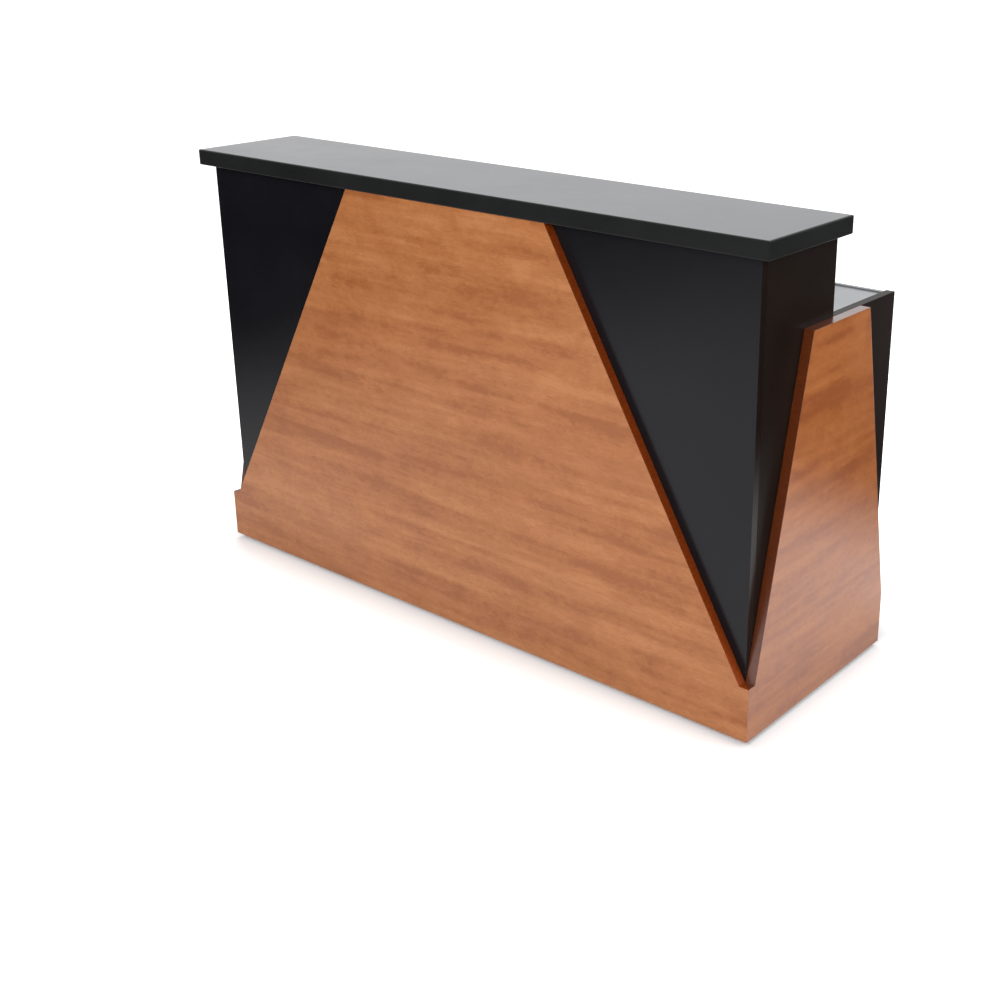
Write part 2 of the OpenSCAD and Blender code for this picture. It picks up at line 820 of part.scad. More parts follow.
module speed_rail() {
    color(steel) difference() {
        union() {
            translate([rail_x, 0, 0]) along_x(rail_l) rail_profile();
            for (end = [-1, 1]) {
                translate([rail_x + end * (rail_l - sheet_t) / 2, 0, 0]) along_x(sheet_t) rail_end();
            }
        }
        at_rail_bolts() translate([0, 0, -over]) {
            cylinder(d = rail_bolt_d + bolt_clear, h = sheet_t + 2 * over);
        }
    }
}

module left_speed_rail() {
    mirror([1, 0, 0]) speed_rail();
}

module right_speed_rail() {
    speed_rail();
}

module speed_rail_bolts() {
    color(steel) at_rail_bolts() translate([0, 0, sheet_t]) dome_bolt(rail_bolt_d, 2 * sheet_t, rail_nut_h);
}

// Rack runners: folded angles along both walls of a side bay
module runner_profile() {
    translate([0, -runner_leg]) square([runner_t, runner_leg]);
    translate([0, -runner_t]) square([runner_w, runner_t]);
    translate([runner_w - runner_t, -runner_lip]) square([runner_t, runner_lip]);
}

module bay_runners() {
    runner_l = y_divider - y_inside - 2 * runner_end_gap;
    color(black) for (level = [0 : runner_levels - 1]) {
        translate([0, (y_inside + y_divider) / 2, deck_z + runner_leg + level * runner_pitch]) {
            translate([bay_x, 0, 0]) along_y(runner_l) runner_profile();
            translate([inner_x, 0, 0]) mirror([1, 0, 0]) along_y(runner_l) runner_profile();
        }
    }
}

module left_bay_runners() {
    mirror([1, 0, 0]) bay_runners();
}

module right_bay_runners() {
    bay_runners();
}

// Caster plate with its bearing race and kingpin
module caster_plate() {
    difference() {
        union() {
            translate([0, 0, plate_z]) linear_extrude(height = plate_t) {
                rounded_rect(plate_w, plate_l, plate_corner_r);
            }
            translate([0, 0, plate_z - race_h]) cylinder(d1 = race_d - 2 * race_step, d2 = race_d, h = race_h);
        }
        at_plate_bolts() translate([0, 0, plate_z - over]) {
            cylinder(d = bolt_d + bolt_clear, h = plate_t + 2 * over);
        }
    }
    pin_z = crown_z - seat;
    translate([0, 0, pin_z - pin_head_h]) cylinder(d = pin_head_d, h = pin_head_h);
    translate([0, 0, pin_z - over]) cylinder(d = kingpin_d, h = plate_z - pin_z + over);
}

module caster_plates() {
    color(zinc) at_casters() caster_plate();
}

module caster_bolts() {
    color(zinc) at_casters() at_plate_bolts() translate([0, 0, deck_z]) {
        dome_bolt(bolt_d, deck_t + plate_t, nut_h);
    }
}

// Fork: a crown with a dished race, and two legs that rake back to the axle
module leg_outline(braked) {
    polygon([[-bridge_front, crown_z + bridge_t], [-bridge_front, crown_z],
             [caster_trail - boss_d / 2, axle_z], [caster_trail + boss_d / 2, axle_z],
             [bridge_rear, crown_z], [bridge_rear, crown_z + bridge_t]]);
    translate([caster_trail, axle_z]) circle(d = boss_d);
    if (braked) {
        polygon([[bridge_rear - ear_d, crown_z + bridge_t], [bridge_rear - ear_d, crown_z - ear_d],
                 [ear_y, ear_z - ear_d / 2], [ear_y, ear_z + ear_d / 2], [bridge_rear, crown_z + bridge_t]]);
        translate([ear_y, ear_z]) circle(d = ear_d);
    }
}

module caster_fork(braked) {
    color(zinc) difference() {
        union() {
            translate([0, 0, crown_top - crown_dish_h]) cylinder(d = crown_d, h = crown_dish_h);
            translate([0, 0, crown_z]) {
                cylinder(d1 = 2 * leg_out, d2 = crown_d, h = crown_h - crown_dish_h);
            }
            box_between([-leg_out, -bridge_front, crown_z], [leg_out, bridge_rear, crown_z + bridge_t]);
            for (s = [-1, 1]) {
                translate([s * (leg_in + leg_t / 2), 0, 0]) along_x(leg_t) leg_outline(braked);
            }
        }
        translate([0, 0, crown_z - over]) cylinder(d = kingpin_d + 2 * run_fit, h = crown_h + 2 * over);
        translate([0, caster_trail, axle_z]) rotate([0, 90, 0]) {
            cylinder(d = axle_d + 2 * run_fit, h = 2 * leg_out + 2 * over, center = true);
        }
        if (braked) {
            translate([0, ear_y, ear_z]) rotate([0, 90, 0]) {
                cylinder(d = pedal_pin_d + 2 * run_fit, h = 2 * leg_out + 2 * over, center = true);
            }
        }
    }
}

module caster_axle() {
    color(steel) translate([0, caster_trail, axle_z]) rotate([0, 90, 0]) {
        cylinder(d = axle_d, h = 2 * (leg_out + axle_head_h), center = true);
        for (s = [-1, 1]) {
            translate([0, 0, s * (leg_out + axle_head_h / 2)]) {
                cylinder(d = axle_head_d, h = axle_head_h, center = true, $fn = 6);
            }
        }
    }
}

// Wheel core: hub, lightened web and rim
module caster_wheel() {
    rim_d = wheel_d - 2 * tyre_t;
    rim_w = wheel_w - 2 * rim_side;
    hub_w = 2 * (leg_in - hub_gap);
    hole_r = (hub_d / 2 + rim_d / 2 - rim_t) / 2;
    color(grey_plastic) translate([0, caster_trail, axle_z]) rotate([0, 90, 0]) difference() {
        union() {
            cylinder(d = hub_d, h = hub_w, center = true);
            cylinder(d = rim_d - rim_t, h = web_t, center = true);
            difference() {
                cylinder(d = rim_d, h = rim_w, center = true);
                cylinder(d = rim_d - 2 * rim_t, h = rim_w + 2 * over, center = true);
            }
        }
        cylinder(d = axle_d + 2 * run_fit, h = hub_w + 2 * over, center = true);
        for (i = [1 : lightening_count]) {
            rotate([0, 0, i * 360 / lightening_count]) translate([hole_r, 0, 0]) {
                cylinder(d = lightening_d, h = web_t + 2 * over, center = true);
            }
        }
    }
}

module caster_tyre() {
    seat_r = wheel_d / 2 - tyre_t + run_fit;
    color(rubber) translate([0, caster_trail, axle_z]) rotate([0, 90, 0]) rotate_extrude() {
        translate([seat_r, -wheel_w / 2]) square([tyre_t - run_fit - tread_r, wheel_w]);
        translate([seat_r, -wheel_w / 2 + tread_r]) square([tyre_t - run_fit, wheel_w - 2 * tread_r]);
        for (s = [-1, 1]) {
            translate([wheel_d / 2 - tread_r, s * (wheel_w / 2 - tread_r)]) circle(r = tread_r);
        }
    }
}

// Brake pedal: a knuckle on its pin, a ribbed arm and a half-round pad for the foot
module brake_pedal() {
    knuckle_w = 2 * (leg_in - pedal_gap);
    pad_depth = pedal_pad_d * pedal_pad_depth_share;
    color(zinc) translate([0, ear_y, ear_z]) {
        rotate([0, 90, 0]) cylinder(d = pedal_knuckle_d, h = knuckle_w, center = true);
        rotate([0, 90, 0]) cylinder(d = pedal_pin_d, h = 2 * (leg_out + pedal_pin_out), center = true);
        rotate([-pedal_slope, 0, 0]) {
            translate([-pedal_arm_w / 2, 0, 0]) cube([pedal_arm_w, pedal_l, pedal_t]);
            for (s = [-1, 1]) {
                translate([s * (pedal_arm_w - pedal_rib_w) / 2 - pedal_rib_w / 2, 0, -pedal_rib_h + pedal_t]) {
                    cube([pedal_rib_w, pedal_l, pedal_rib_h]);
                }
            }
            translate([0, pedal_l, 0]) linear_extrude(height = pedal_t) intersection() {
                circle(d = pedal_pad_d);
                translate([-pedal_pad_d / 2, 0]) square([pedal_pad_d, pad_depth]);
            }
        }
    }
}

// Casters in place: the front ones trail forwards and the rear ones backwards
module front_caster(side) {
    translate([side * caster_x, front_caster_y, 0]) rotate([0, 0, 180]) children();
}

module rear_caster(side) {
    translate([side * caster_x, rear_caster_y, 0]) children();
}

base_deck();
rear_plinth();
front_panel();
left_end_panel();
right_end_panel();
left_divider();
right_divider();
deck_bearers();
bearer_bolts();
bar_top();
bar_top_edging();
top_brackets();
front_fascia();
left_fascia();
right_fascia();
worktop();
splashback();
worktop_core();
core_ledgers();
sink_basin();
drain_strainer();
drain_locknut();
drain_elbow();
drain_hose();
hose_clamps();
hose_bracket();
sink_cover();
cover_cleats();
left_speed_rail();
right_speed_rail();
speed_rail_bolts();
left_bay_runners();
right_bay_runners();
caster_plates();
caster_bolts();
front_caster(-1) caster_fork(false);  // front_left_fork
front_caster(-1) caster_axle();  // front_left_axle
front_caster(-1) caster_wheel();  // front_left_wheel
front_caster(-1) caster_tyre();  // front_left_tyre
front_caster(1) caster_fork(false);  // front_right_fork
front_caster(1) caster_axle();  // front_right_axle
front_caster(1) caster_wheel();  // front_right_wheel
front_caster(1) caster_tyre();  // front_right_tyre
rear_caster(-1) caster_fork(true);  // rear_left_fork
rear_caster(-1) caster_axle();  // rear_left_axle
rear_caster(-1) caster_wheel();  // rear_left_wheel
rear_caster(-1) caster_tyre();  // rear_left_tyre
rear_caster(-1) brake_pedal();  // rear_left_pedal
rear_caster(1) caster_fork(true);  // rear_right_fork
rear_caster(1) caster_axle();  // rear_right_axle
rear_caster(1) caster_wheel();  // rear_right_wheel
rear_caster(1) caster_tyre();  // rear_right_tyre
rear_caster(1) brake_pedal();  // rear_right_pedal
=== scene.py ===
"""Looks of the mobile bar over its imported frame: materials, drain hose, small screws, light and camera."""
import json
import math

import bpy
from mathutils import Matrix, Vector


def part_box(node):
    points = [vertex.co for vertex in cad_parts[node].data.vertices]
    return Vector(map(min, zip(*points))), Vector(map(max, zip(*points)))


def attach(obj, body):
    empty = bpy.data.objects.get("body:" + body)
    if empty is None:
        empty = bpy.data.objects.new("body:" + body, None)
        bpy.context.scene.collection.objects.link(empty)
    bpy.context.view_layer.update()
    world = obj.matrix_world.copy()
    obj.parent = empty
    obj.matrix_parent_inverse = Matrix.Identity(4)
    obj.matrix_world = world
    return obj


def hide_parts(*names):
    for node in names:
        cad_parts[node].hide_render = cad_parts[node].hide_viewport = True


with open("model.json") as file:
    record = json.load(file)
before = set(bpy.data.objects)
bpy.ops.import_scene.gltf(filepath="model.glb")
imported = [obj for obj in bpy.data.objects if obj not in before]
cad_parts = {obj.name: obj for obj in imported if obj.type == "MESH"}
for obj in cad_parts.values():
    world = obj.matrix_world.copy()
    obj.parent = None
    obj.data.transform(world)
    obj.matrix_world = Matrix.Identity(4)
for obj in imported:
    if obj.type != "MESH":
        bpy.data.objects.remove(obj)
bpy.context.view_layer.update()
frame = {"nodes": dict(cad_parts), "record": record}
NODES = frame["nodes"]
SCENE = bpy.context.scene
ROOT = "carcass"
WHITE = (1, 1, 1, 1)

# Camera, fitted to the large view of the photograph
CAMERA_AZIMUTH = math.radians(38.944)
CAMERA_PITCH = math.radians(20.127)
CAMERA_PLACE = (2.3231, -2.6359, 1.7327)
SENSOR_WIDTH = 36
LENS = 50.39
LENS_SHIFT = (-0.0976, -0.0706)
FAR_LIMIT = 200

forward = Vector((
    -math.sin(CAMERA_AZIMUTH) * math.cos(CAMERA_PITCH),
    math.cos(CAMERA_AZIMUTH) * math.cos(CAMERA_PITCH),
    -math.sin(CAMERA_PITCH),
))
camera_data = bpy.data.cameras.new("camera")
camera_data.sensor_width = SENSOR_WIDTH
camera_data.lens = LENS
camera_data.shift_x, camera_data.shift_y = LENS_SHIFT
camera_data.clip_end = FAR_LIMIT
camera = bpy.data.objects.new("camera", camera_data)
camera.location = CAMERA_PLACE
camera.rotation_euler = forward.to_track_quat("-Z", "Y").to_euler()
SCENE.collection.objects.link(camera)
SCENE.camera = camera


def add_mesh(name, verts, faces, material, smooth=True):
    """A mesh object of one material, in the scene."""
    mesh = bpy.data.meshes.new(name)
    mesh.from_pydata(verts, [], faces)
    mesh.update()
    for polygon in mesh.polygons:
        polygon.use_smooth = smooth
    mesh.materials.append(material)
    piece = bpy.data.objects.new(name, mesh)
    SCENE.collection.objects.link(piece)
    return piece


class Nodes:
    """A node tree, with short calls to add nodes and join them."""

    # Colour sockets of the mix node
    MIX_FIRST = 6
    MIX_SECOND = 7
    MIX_RESULT = 2

    def __init__(self, tree):
        self.tree = tree
        self.coords = self.add("ShaderNodeTexCoord").outputs

    def add(self, kind, **settings):
        node = self.tree.nodes.new(kind)
        for key, value in settings.items():
            setattr(node, key, value)
        return node

    def put(self, value, socket):
        """Links a node's output to a socket, or sets the socket to a plain value."""
        if isinstance(value, bpy.types.NodeSocket):
            self.tree.links.new(value, socket)
        else:
            socket.default_value = value

    def split(self, vector):
        """The X, Y and Z parts of a vector."""
        node = self.add("ShaderNodeSeparateXYZ")
        self.put(vector, node.inputs[0])
        return node.outputs

    def noise(self, scale, stretch=(1, 1, 1), detail=4.0, roughness=0.55, distortion=0.0,
              turn=(0, 0, 0), shift=(0, 0, 0)):
        """Noise in object space; a small stretch along an axis draws it out into streaks along that axis."""
        mapping = self.add("ShaderNodeMapping")
        self.put(self.coords["Object"], mapping.inputs["Vector"])
        self.put(stretch, mapping.inputs["Scale"])
        self.put(turn, mapping.inputs["Rotation"])
        self.put(shift, mapping.inputs["Location"])
        node = self.add("ShaderNodeTexNoise")
        self.put(mapping.outputs["Vector"], node.inputs["Vector"])
        self.put(scale, node.inputs["Scale"])
        self.put(detail, node.inputs["Detail"])
        self.put(roughness, node.inputs["Roughness"])
        self.put(distortion, node.inputs["Distortion"])
        return node.outputs["Fac"]

    def math(self, operation, a, b=0.0):
        node = self.add("ShaderNodeMath", operation=operation)
        self.put(a, node.inputs[0])
        self.put(b, node.inputs[1])
        return node.outputs[0]

    def weigh(self, *parts):
        """Sum of values, each times its share."""
        total = None
        for value, share in parts:
            weighed = self.math("MULTIPLY", value, share)
            total = weighed if total is None else self.math("ADD", total, weighed)
        return total

    def length(self, a, b):
        """Length of a flat vector with these two parts."""
        return self.math("SQRT", self.math("ADD", self.math("POWER", a, 2.0), self.math("POWER", b, 2.0)))

    def range(self, value, low, high, to_low=0.0, to_high=1.0):
        """The value's place between low and high, kept within them, carried over to another range."""
        node = self.add("ShaderNodeMapRange")
        self.put(value, node.inputs["Value"])
        self.put(low, node.inputs["From Min"])
        self.put(high, node.inputs["From Max"])
        self.put(to_low, node.inputs["To Min"])
        self.put(to_high, node.inputs["To Max"])
        return node.outputs["Result"]

    def ramp(self, value, stops):
        """Colour that goes from stop to stop, each a place and a colour."""
        stops = list(stops)
        node = self.add("ShaderNodeValToRGB")
        self.put(value, node.inputs["Fac"])
        while len(node.color_ramp.elements) < len(stops):
            node.color_ramp.elements.new(0.5)
        for element, (place, colour) in zip(node.color_ramp.elements, stops):
            element.position = place
            element.color = (*colour, 1)
        return node.outputs["Color"]

    def mix(self, share, first, second):
        """The first colour at a share of 0, and the second at 1."""
        node = self.add("ShaderNodeMix", data_type="RGBA")
        self.put(share, node.inputs["Factor"])
        for colour, index in ((first, self.MIX_FIRST), (second, self.MIX_SECOND)):
            plain = not isinstance(colour, bpy.types.NodeSocket)
            self.put((*colour, 1) if plain else colour, node.inputs[index])
        return node.outputs[self.MIX_RESULT]


class Shader(Nodes):
    """A material's nodes round its Principled BSDF."""

    def __init__(self, name, **sockets):
        self.material = bpy.data.materials.new(name)
        self.material.use_nodes = True
        super().__init__(self.material.node_tree)
        self.bsdf = self.tree.nodes["Principled BSDF"]
        for socket, value in sockets.items():
            self.put(value, self.bsdf.inputs[socket.replace("_", " ")])

    def facing(self, axis, low, high):
        """1 on faces that look along an object axis, 0 on those that look across it."""
        return self.range(self.math("ABSOLUTE", self.split(self.coords["Normal"])[axis]), low, high)

    def bump(self, height, strength, distance):
        node = self.add("ShaderNodeBump")
        self.put(strength, node.inputs["Strength"])
        self.put(distance, node.inputs["Distance"])
        self.put(height, node.inputs["Height"])
        self.put(node.outputs["Normal"], self.bsdf.inputs["Normal"])

    def colour(self, value):
        self.put(value, self.bsdf.inputs["Base Color"])

    def rough(self, value):
        self.put(value, self.bsdf.inputs["Roughness"])


# Cherry veneer, from its darkest figure to its palest, with the tone at which each shade stands
VENEER_SHADES = (
    (0.42, (0.360, 0.110, 0.027)),
    (0.485, (0.435, 0.150, 0.042)),
    (0.53, (0.470, 0.170, 0.051)),
    (0.60, (0.530, 0.208, 0.071)),
)
VENEER_PATCH = (0.310, 0.088, 0.021)
VENEER_PORE = (0.15, 0.042, 0.012)
PATCH_SHARE = 0.26
PORE_SHARE = 0.30
PATCH_OFFSET = 3.1
GRAIN_TILT = 0.04
LACQUER_ROUGHNESS = 0.20
LACQUER_IOR = 1.6

# Noise values at which a material reaches its dark and its pale shade
WIDE_STOPS = (0.25, 0.75)
MIDDLE_STOPS = (0.3, 0.7)
NARROW_STOPS = (0.35, 0.65)


def wood(name, face_axis, shift, coat, tint, edges):
    """Cherry veneer in broad bands with a mottle, its grain lying along the board, and stained edges."""
    s = Shader(name, Coat_Weight=coat, Coat_Roughness=LACQUER_ROUGHNESS, Coat_IOR=LACQUER_IOR)
    along_x = face_axis == "Y"
    tilt = (0, GRAIN_TILT, 0) if along_x else (GRAIN_TILT, 0, 0)

    def figure(scale, drawn, detail, roughness, distortion, offset=0.0):
        """Noise drawn out along the grain."""
        stretch = (drawn, 1, 1) if along_x else (1, drawn, 1)
        place = tuple(value + offset for value in shift)
        return s.noise(scale, stretch, detail, roughness, distortion, tilt, place)

    band = figure(scale=24.0, drawn=0.06, detail=1.0, roughness=0.5, distortion=0.4)
    streak = figure(scale=40.0, drawn=0.10, detail=3.0, roughness=0.5, distortion=0.5)
    mottle = figure(scale=75.0, drawn=0.55, detail=3.0, roughness=0.6, distortion=0.9)
    grain = figure(scale=420.0, drawn=0.03, detail=4.0, roughness=0.65, distortion=0.2)
    pores = figure(scale=900.0, drawn=0.05, detail=1.0, roughness=0.5, distortion=0.0)
    patch = figure(scale=13.0, drawn=0.12, detail=2.0, roughness=0.5, distortion=0.8, offset=PATCH_OFFSET)
    blotch = s.noise(scale=9.0, stretch=(1, 1, 1.6), detail=2.0, roughness=0.5, distortion=0.6, shift=shift)
    edge = s.noise(scale=60.0, stretch=(1, 1, 6), detail=3.0)
    pores = s.range(pores, low=0.60, high=0.72)
    patch = s.range(patch, low=0.56, high=0.67)

    stops = []
    for place, shade in VENEER_SHADES:
        stops.append((place, tuple(part * share for part, share in zip(shade, tint))))
    tone = s.weigh((band, 0.30), (streak, 0.22), (mottle, 0.20), (blotch, 0.18), (grain, 0.10))
    veneer = s.ramp(tone, stops)
    veneer = s.mix(s.math("MULTIPLY", patch, PATCH_SHARE), veneer, VENEER_PATCH)
    veneer = s.mix(s.math("MULTIPLY", pores, PORE_SHARE), veneer, VENEER_PORE)
    stained = s.ramp(edge, zip(MIDDLE_STOPS, edges))
    s.colour(s.mix(s.facing(face_axis, low=0.75, high=0.95), stained, veneer))
    s.rough(s.range(s.math("ADD", grain, blotch), low=0.7, high=1.3, to_low=0.30, to_high=0.42))
    s.bump(s.math("SUBTRACT", grain, pores), strength=0.08, distance=0.0003)
    return s.material


def laminate(name, shades, specular, rough=(0.38, 0.50), grain=0.12, end_shades=None):
    """Board faced with a fine laminate, handled and dusted a little; its ends may have their own shades."""
    s = Shader(name, Specular_IOR_Level=specular)
    cloud = s.noise(scale=5.0, detail=5.0, roughness=0.6)
    fleck = s.noise(scale=650.0, detail=2.0)
    tone = s.weigh((cloud, 0.7), (fleck, 0.3))
    colour = s.ramp(tone, zip(WIDE_STOPS, shades))
    if end_shades:
        ends = s.ramp(tone, zip(WIDE_STOPS, end_shades))
        colour = s.mix(s.facing("X", low=0.6, high=0.8), colour, ends)
    s.colour(colour)
    s.rough(s.range(cloud, 0.2, 0.8, *rough))
    s.bump(s.noise(scale=1400.0, detail=2.0), strength=grain, distance=0.0002)
    return s.material


def steel(name, shades, rough, stretch=(0.01, 1, 1), depth=0.015):
    """Steel with fine streaks from brushing, and slightly uneven gloss."""
    s = Shader(name, Metallic=1.0, Anisotropic=0.7, Specular_Tint=(0.50, 0.50, 0.51, 1))
    across = s.add("ShaderNodeTangent", direction_type="RADIAL", axis="X")
    s.put(across.outputs["Tangent"], s.bsdf.inputs["Tangent"])
    lines = s.noise(scale=2600.0, stretch=stretch, detail=2.0, roughness=0.6)
    cloud = s.noise(scale=6.0, detail=4.0, roughness=0.6)
    s.colour(s.ramp(s.weigh((lines, 0.6), (cloud, 0.4)), zip(WIDE_STOPS, shades)))
    s.rough(s.range(s.weigh((lines, 0.3), (cloud, 1.0)), 0.35, 0.95, *rough))
    s.bump(lines, strength=depth, distance=0.0002)
    return s.material


def plastic(name, shades, rough, grain=900.0, depth=0.15, specular=0.5):
    """Moulded plastic, rubber or paint with a fine grain and faint scuffs."""
    s = Shader(name, Specular_IOR_Level=specular)
    cloud = s.noise(scale=30.0, detail=5.0, roughness=0.65)
    scuffs = s.noise(scale=60.0, detail=5.0)
    s.colour(s.ramp(cloud, zip(NARROW_STOPS, shades)))
    s.rough(s.range(scuffs, *MIDDLE_STOPS, *rough))
    s.bump(s.noise(scale=grain, detail=3.0), strength=depth, distance=0.0003)
    return s.material


def plywood(name, shades, rough):
    """Bare plywood: pale faces with long grain."""
    s = Shader(name)
    grain = s.noise(scale=240.0, stretch=(0.04, 1, 1), detail=4.0, roughness=0.6, distortion=0.3)
    figure = s.noise(scale=9.0, stretch=(0.3, 1, 1), detail=3.0, roughness=0.5, distortion=0.8)
    s.colour(s.ramp(s.weigh((grain, 0.4), (figure, 0.6)), zip(NARROW_STOPS, shades)))
    s.rough(s.range(grain, *MIDDLE_STOPS, *rough))
    s.bump(grain, strength=0.15, distance=0.0004)
    return s.material


# Pairs of shades, dark and pale, as linear colours
FRONT_SHADES = ((0.0055, 0.0055, 0.0075), (0.009, 0.009, 0.0115))
END_SHADES = ((0.009, 0.0055, 0.0042), (0.014, 0.008, 0.006))
INSIDE_SHADES = ((0.007, 0.007, 0.008), (0.011, 0.011, 0.013))
# The bar top is the same black laminate as its edge band; these lighter shades paint in part of the pale
# sheen it shows at a glancing view, and its gloss gives the rest
TOP_PAINTED_SHEEN_SHADES = ((0.056, 0.059, 0.068), (0.076, 0.080, 0.091))
BAND_SHADES = ((0.006, 0.0065, 0.0065), (0.011, 0.0115, 0.0115))
FRONT_EDGES = ((0.17, 0.026, 0.001), (0.29, 0.046, 0.002))
SIDE_EDGES = ((0.080, 0.014, 0.001), (0.130, 0.024, 0.001))
SHEET_SHADES = ((0.50, 0.505, 0.52), (0.62, 0.625, 0.64))
BOWL_SHADES = ((0.56, 0.56, 0.56), (0.68, 0.68, 0.68))
ZINC_SHADES = ((0.46, 0.45, 0.41), (0.62, 0.61, 0.56))
PAINT_SHADES = ((0.018, 0.018, 0.019), (0.035, 0.035, 0.037))
DRAIN_SHADES = ((0.12, 0.12, 0.125), (0.18, 0.18, 0.185))
HOSE_SHADES = ((0.030, 0.031, 0.033), (0.055, 0.056, 0.058))
HUB_SHADES = ((0.16, 0.16, 0.165), (0.24, 0.24, 0.245))
RUBBER_SHADES = ((0.022, 0.022, 0.022), (0.045, 0.045, 0.044))
PLYWOOD_SHADES = ((0.43, 0.29, 0.16), (0.62, 0.46, 0.28))

# The side boards are lacquered more heavily than the front one, over a redder veneer
FRONT_COAT = 0.12
SIDE_COAT = 0.9
FRONT_TINT = (1.0, 1.0, 1.0)
SIDE_TINT = (0.90, 0.75, 0.50)

BLACK_FRONT = laminate("black_front_laminate", FRONT_SHADES, specular=0.30, rough=(0.18, 0.25), grain=0.04,
                       end_shades=END_SHADES)
BLACK_ENDS = laminate("black_end_laminate", END_SHADES, specular=0.10, rough=(0.30, 0.38), grain=0.06)
BLACK_INSIDE = laminate("black_inside_laminate", INSIDE_SHADES, specular=0.15)
# Bar top: black laminate whose lighter base colour is partly painted sheen
BAR_TOP = laminate("bar_top_laminate", TOP_PAINTED_SHEEN_SHADES, specular=0.85, rough=(0.20, 0.28), grain=0.01)
EDGE_BAND = laminate("bar_top_edge_band", BAND_SHADES, specular=0.27, rough=(0.30, 0.42), grain=0.03)
WOOD_FRONT = wood("cherry_front", "Y", (0.3, 0.0, 0.1), FRONT_COAT, FRONT_TINT, FRONT_EDGES)
WOOD_LEFT = wood("cherry_left", "X", (1.7, 0.4, 0.8), SIDE_COAT, SIDE_TINT, SIDE_EDGES)
WOOD_RIGHT = wood("cherry_right", "X", (2.9, 1.3, 0.2), SIDE_COAT, SIDE_TINT, SIDE_EDGES)
STAINLESS = steel("stainless_sheet", SHEET_SHADES, rough=(0.35, 0.40))
STAINLESS_BOWL = steel("stainless_bowl", BOWL_SHADES, rough=(0.22, 0.28), stretch=(1, 1, 0.02), depth=0.005)
ZINC = steel("zinc_plate", ZINC_SHADES, rough=(0.30, 0.45), stretch=(1, 1, 1), depth=0.03)
BLACK_STEEL = plastic("black_paint", PAINT_SHADES, rough=(0.35, 0.5), grain=1200.0, depth=0.1)
DRAIN_PLASTIC = plastic("drain_plastic", DRAIN_SHADES, rough=(0.35, 0.5))
HOSE_PLASTIC = plastic("hose_plastic", HOSE_SHADES, rough=(0.22, 0.36), grain=400.0, depth=0.05)
WHEEL_PLASTIC = plastic("wheel_plastic", HUB_SHADES, rough=(0.4, 0.55))
RUBBER = plastic("tyre_rubber", RUBBER_SHADES, rough=(0.6, 0.8), grain=500.0, depth=0.3, specular=0.3)
PLYWOOD = plywood("plywood", PLYWOOD_SHADES, rough=(0.55, 0.75))

LOOKS_BY_NODE = {
    "front_panel": BLACK_FRONT,
    "left_end_panel": BLACK_ENDS,
    "right_end_panel": BLACK_ENDS,
    "front_fascia": WOOD_FRONT,
    "left_fascia": WOOD_LEFT,
    "right_fascia": WOOD_RIGHT,
    "sink_basin": STAINLESS_BOWL,
    "drain_strainer": STAINLESS_BOWL,
}
LOOKS_BY_SLOT = {
    "black_board": BLACK_INSIDE,
    "top_laminate": BAR_TOP,
    "edge_band": EDGE_BAND,
    "cherry_veneer": WOOD_FRONT,
    "plywood": PLYWOOD,
    "stainless_steel": STAINLESS,
    "black_steel": BLACK_STEEL,
    "zinc_steel": ZINC,
    "drain_plastic": DRAIN_PLASTIC,
    "hose_plastic": HOSE_PLASTIC,
    "wheel_plastic": WHEEL_PLASTIC,
    "tyre_rubber": RUBBER,
}
for part in frame["record"]["subparts"]:
    materials = NODES[part["node"]].data.materials
    materials.clear()
    materials.append(LOOKS_BY_NODE.get(part["node"], LOOKS_BY_SLOT[part["material_slot"]]))

# Eased edges on the boards, as bevel widths in metres
EASED_EDGES = {
    "front_fascia": 0.0010,
    "left_fascia": 0.0010,
    "right_fascia": 0.0010,
    "front_panel": 0.0006,
    "left_end_panel": 0.0008,
    "right_end_panel": 0.0008,
    "left_divider": 0.0006,
    "right_divider": 0.0006,
    "rear_plinth": 0.0008,
    "sink_cover": 0.0008,
}
WELD_REACH = 0.00001
BEVEL_STEPS = 2
BEVEL_FROM = math.radians(35)
for name, width in EASED_EDGES.items():
    weld = NODES[name].modifiers.new("weld", "WELD")
    weld.merge_threshold = WELD_REACH
    bevel = NODES[name].modifiers.new("bevel", "BEVEL")
    bevel.width = width
    bevel.segments = BEVEL_STEPS
    bevel.limit_method = "ANGLE"
    bevel.angle_limit = BEVEL_FROM
    bevel.harden_normals = True

# Drain hose: ribbed tube along the same route as its solid, from the elbow to the bracket
HOSE_ROUTE_MM = (
    (10, 40, 660), (33, 40, 660), (56, 40, 660), (88, 40, 656), (118, 41, 644), (144, 43, 624),
    (164, 46, 598), (176, 49, 568), (180, 53, 535), (180, 57, 505), (180, 61, 475), (174, 66, 432),
    (158, 71, 392), (132, 77, 358), (98, 83, 332), (58, 89, 316), (15, 95, 310), (-28, 101, 316),
    (-68, 107, 332), (-102, 113, 358), (-128, 119, 392), (-144, 125, 432), (-150, 131, 475),
    (-150, 137, 505), (-150, 143, 535), (-150, 148, 562), (-150, 150, 588), (-150, 150, 613),
    (-150, 150, 638),
)
HOSE_ROUTE = [Vector(point) / 1000 for point in HOSE_ROUTE_MM]
HOSE_DIAMETER = 0.020
HOSE_PITCH = 0.0065
HOSE_GROOVE = 0.0012
HOSE_SIDES = 20
RINGS_PER_RIB = 8
GROOVE_POWER = 1.5
STEPS_PER_SPAN = 40


